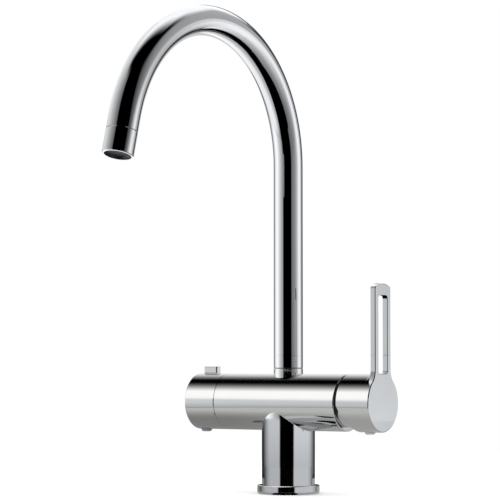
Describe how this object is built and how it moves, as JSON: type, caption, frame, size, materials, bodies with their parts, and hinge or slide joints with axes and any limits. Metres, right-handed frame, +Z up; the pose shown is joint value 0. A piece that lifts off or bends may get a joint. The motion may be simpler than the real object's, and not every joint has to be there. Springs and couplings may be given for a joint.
{
  "type": "kitchen mixer tap",
  "caption": "Chrome kitchen mixer tap with a high swivel spout, a slotted side lever and a dishwasher shut-off knob.",
  "frame": {"origin": "centre of the base ring's underside, on the column's axis, at the worktop", "axes": "+Z up, -Y along the spout, +X along the barrel towards the lever"},
  "size_m": [0.1852, 0.2757, 0.4001],
  "materials": {
    "chrome": "polished",
    "brass": "turned",
    "stainless_steel": "turned",
    "black_rubber": "moulded",
    "dark_grey_plastic": "moulded",
    "white_plastic": "moulded",
    "ceramic": "lapped"
  },
  "bodies": {
    "root": {"body": "chrome", "base_ring": "chrome", "base_gasket": "black_rubber", "glide_ring": "dark_grey_plastic", "lock_screw": "stainless_steel", "cartridge_base": "white_plastic", "port_seals": "black_rubber", "fixed_disc": "ceramic", "cartridge_housing": "white_plastic", "retaining_nut": "brass", "cover_ring": "dark_grey_plastic", "valve_headwork": "brass", "headwork_gasket": "black_rubber", "valve_seal": "black_rubber", "valve_fixed_disc": "ceramic"},
    "spout": {"spout_tube": "chrome", "spout_nipple": "brass", "spout_o_rings": "black_rubber", "aerator_housing": "chrome", "aerator_gasket": "black_rubber", "aerator_screen": "white_plastic", "aerator_cage": "dark_grey_plastic"},
    "mixer": {"cartridge_rotor": "white_plastic", "stem_pin": "stainless_steel"},
    "lever": {"lever_handle": "chrome", "lever_stem": "stainless_steel", "handle_screw": "stainless_steel", "handle_plug": "dark_grey_plastic"},
    "carriage": {"disc_carrier": "white_plastic", "moving_disc": "ceramic"},
    "shutoff": {"shutoff_knob": "chrome", "valve_spindle": "brass", "spindle_o_rings": "black_rubber", "spindle_clip": "stainless_steel", "valve_turning_disc": "ceramic", "knob_screw": "stainless_steel", "knob_plug": "dark_grey_plastic"}
  },
  "joints": [
    {"name": "spout_swing", "type": "hinge", "parent": "root", "child": "spout", "pos_m": [0, 0, 0.106], "axis": [0, 0, 1], "range_deg": [-60, 60]},
    {"name": "temperature", "type": "hinge", "parent": "root", "child": "mixer", "pos_m": [0.046, 0, 0.077], "axis": [1, 0, 0], "range_deg": [-45, 45]},
    {"name": "lever_tilt", "type": "hinge", "parent": "mixer", "child": "lever", "pos_m": [0.046, 0, 0.077], "axis": [0, 1, 0], "range_deg": [0, 25]},
    {"name": "disc_slide", "type": "slide", "parent": "mixer", "child": "carriage", "axis": [0, 0, 1], "range_m": [0, 0.0051]},
    {"name": "shutoff_turn", "type": "hinge", "parent": "root", "child": "shutoff", "pos_m": [-0.061, 0, 0.077], "axis": [1, 0, 0], "range_deg": [0, 90]}
  ],
  "couplings": [
    {"joint": "disc_slide", "follows": "lever_tilt", "m_per_rad": 0.01143}
  ]
}
